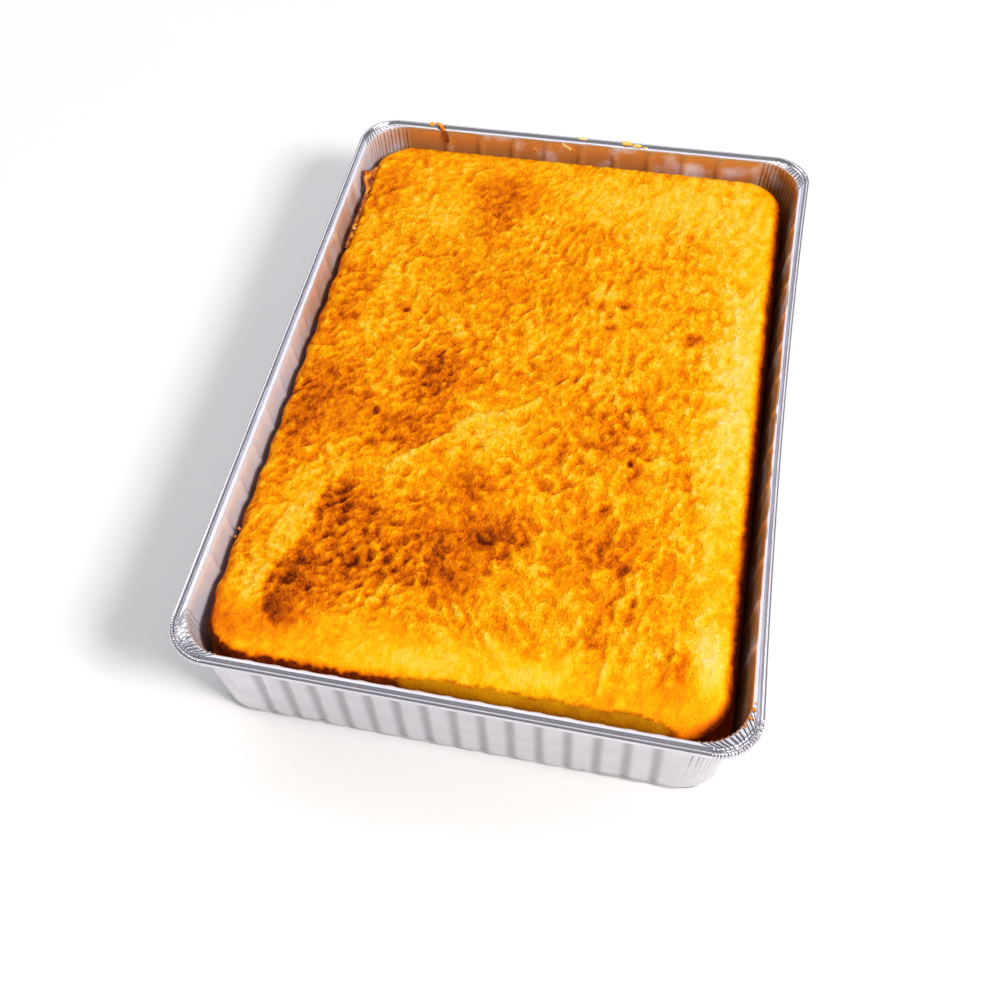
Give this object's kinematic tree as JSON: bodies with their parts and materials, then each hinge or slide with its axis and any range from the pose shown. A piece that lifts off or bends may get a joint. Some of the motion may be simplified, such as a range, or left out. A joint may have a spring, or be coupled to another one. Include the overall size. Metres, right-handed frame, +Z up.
{
  "type": "cornbread in foil pan",
  "caption": "Whole cornbread slab with a browned, wrinkled crust, in the oblong ribbed aluminium foil pan that it was baked in.",
  "frame": {"origin": "centre of the pan's base, on the surface it rests on", "axes": "+X across the pan, +Y along its length, +Z up out of the pan"},
  "size_m": [0.2405, 0.3446, 0.062],
  "materials": {
    "foil": "bright pressed foil, lightly creased",
    "crust": "baked cornbread crust, golden with brown patches, satin",
    "torn_crust": "torn browned crust, matt",
    "dried_batter": "dried browned batter, satin"
  },
  "bodies": {
    "root": {"foil_pan": "foil", "cornbread": "crust", "crust_shred": "torn_crust", "batter_drip": "dried_batter"}
  },
  "joints": []
}
